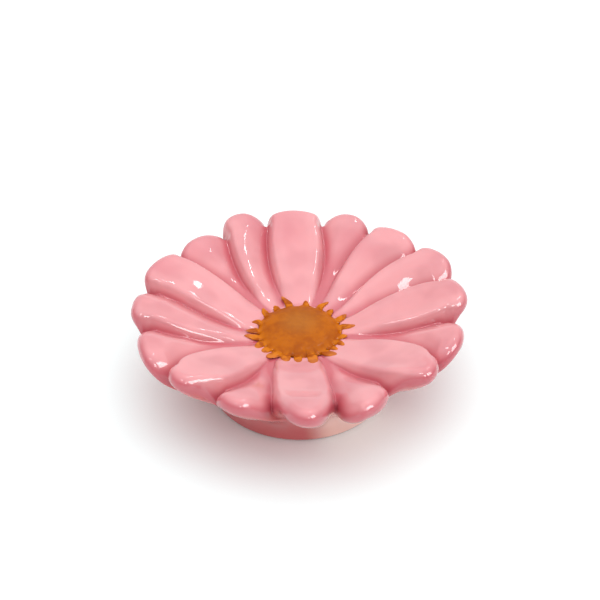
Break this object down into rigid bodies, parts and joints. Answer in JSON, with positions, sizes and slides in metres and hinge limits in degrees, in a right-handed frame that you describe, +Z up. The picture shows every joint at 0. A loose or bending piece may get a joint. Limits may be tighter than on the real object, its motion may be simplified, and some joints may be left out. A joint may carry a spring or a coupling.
{
  "type": "glazed ceramic flower ornament",
  "caption": "Small gerbera-shaped ceramic ornament: a shallow dish of overlapping petals on a round foot, with a raised amber middle; stands on a table as decoration.",
  "frame": {"origin": "middle of the flat foot, on the table", "axes": "+Z up through the middle of the flower, -Y towards the front"},
  "size_m": [0.0616, 0.0617, 0.0186],
  "materials": {
    "pink_glaze": "high-gloss pink glaze over earthenware",
    "amber_glaze": "thick translucent amber glaze"
  },
  "bodies": {
    "root": {"flower_body": "pink_glaze", "flower_centre": "amber_glaze"}
  },
  "joints": []
}
